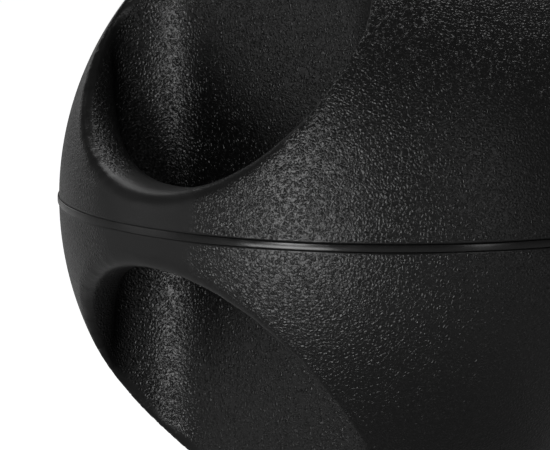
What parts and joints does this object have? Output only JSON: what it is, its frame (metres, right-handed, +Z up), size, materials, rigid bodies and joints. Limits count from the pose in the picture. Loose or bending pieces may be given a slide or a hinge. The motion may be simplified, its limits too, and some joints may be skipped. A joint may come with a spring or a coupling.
{
  "type": "medicine ball",
  "caption": "Black grained rubber medicine ball with a handle moulded flush into each side, a pocket above and below each handle, and a raised smooth seam.",
  "frame": {"origin": "centre of the ball", "axes": "+Z up, square to the plane of the seam and through the valve; the handles are at +X and -X with their bars along Y; the plain faces are at +Y and -Y"},
  "size_m": [0.2712, 0.2712, 0.2699],
  "materials": {
    "grained_rubber": "satin, fine pebbled grain",
    "smooth_rubber": "smooth, slightly glossy",
    "ballast_rubber": "matte, mineral filled",
    "tape_fabric": "rubberised cloth",
    "butyl_rubber": "smooth, matte",
    "core_rubber": "hard cord-filled rubber",
    "valve_rubber": "smooth, satin"
  },
  "bodies": {
    "root": {"upper_cover": "grained_rubber", "lower_cover": "grained_rubber", "seam_strip": "smooth_rubber", "upper_ballast": "ballast_rubber", "lower_ballast": "ballast_rubber", "joint_tape": "tape_fabric", "bladder": "butyl_rubber", "grip_core_left": "core_rubber", "grip_core_right": "core_rubber", "valve_boot": "butyl_rubber", "valve_core": "valve_rubber"}
  },
  "joints": []
}
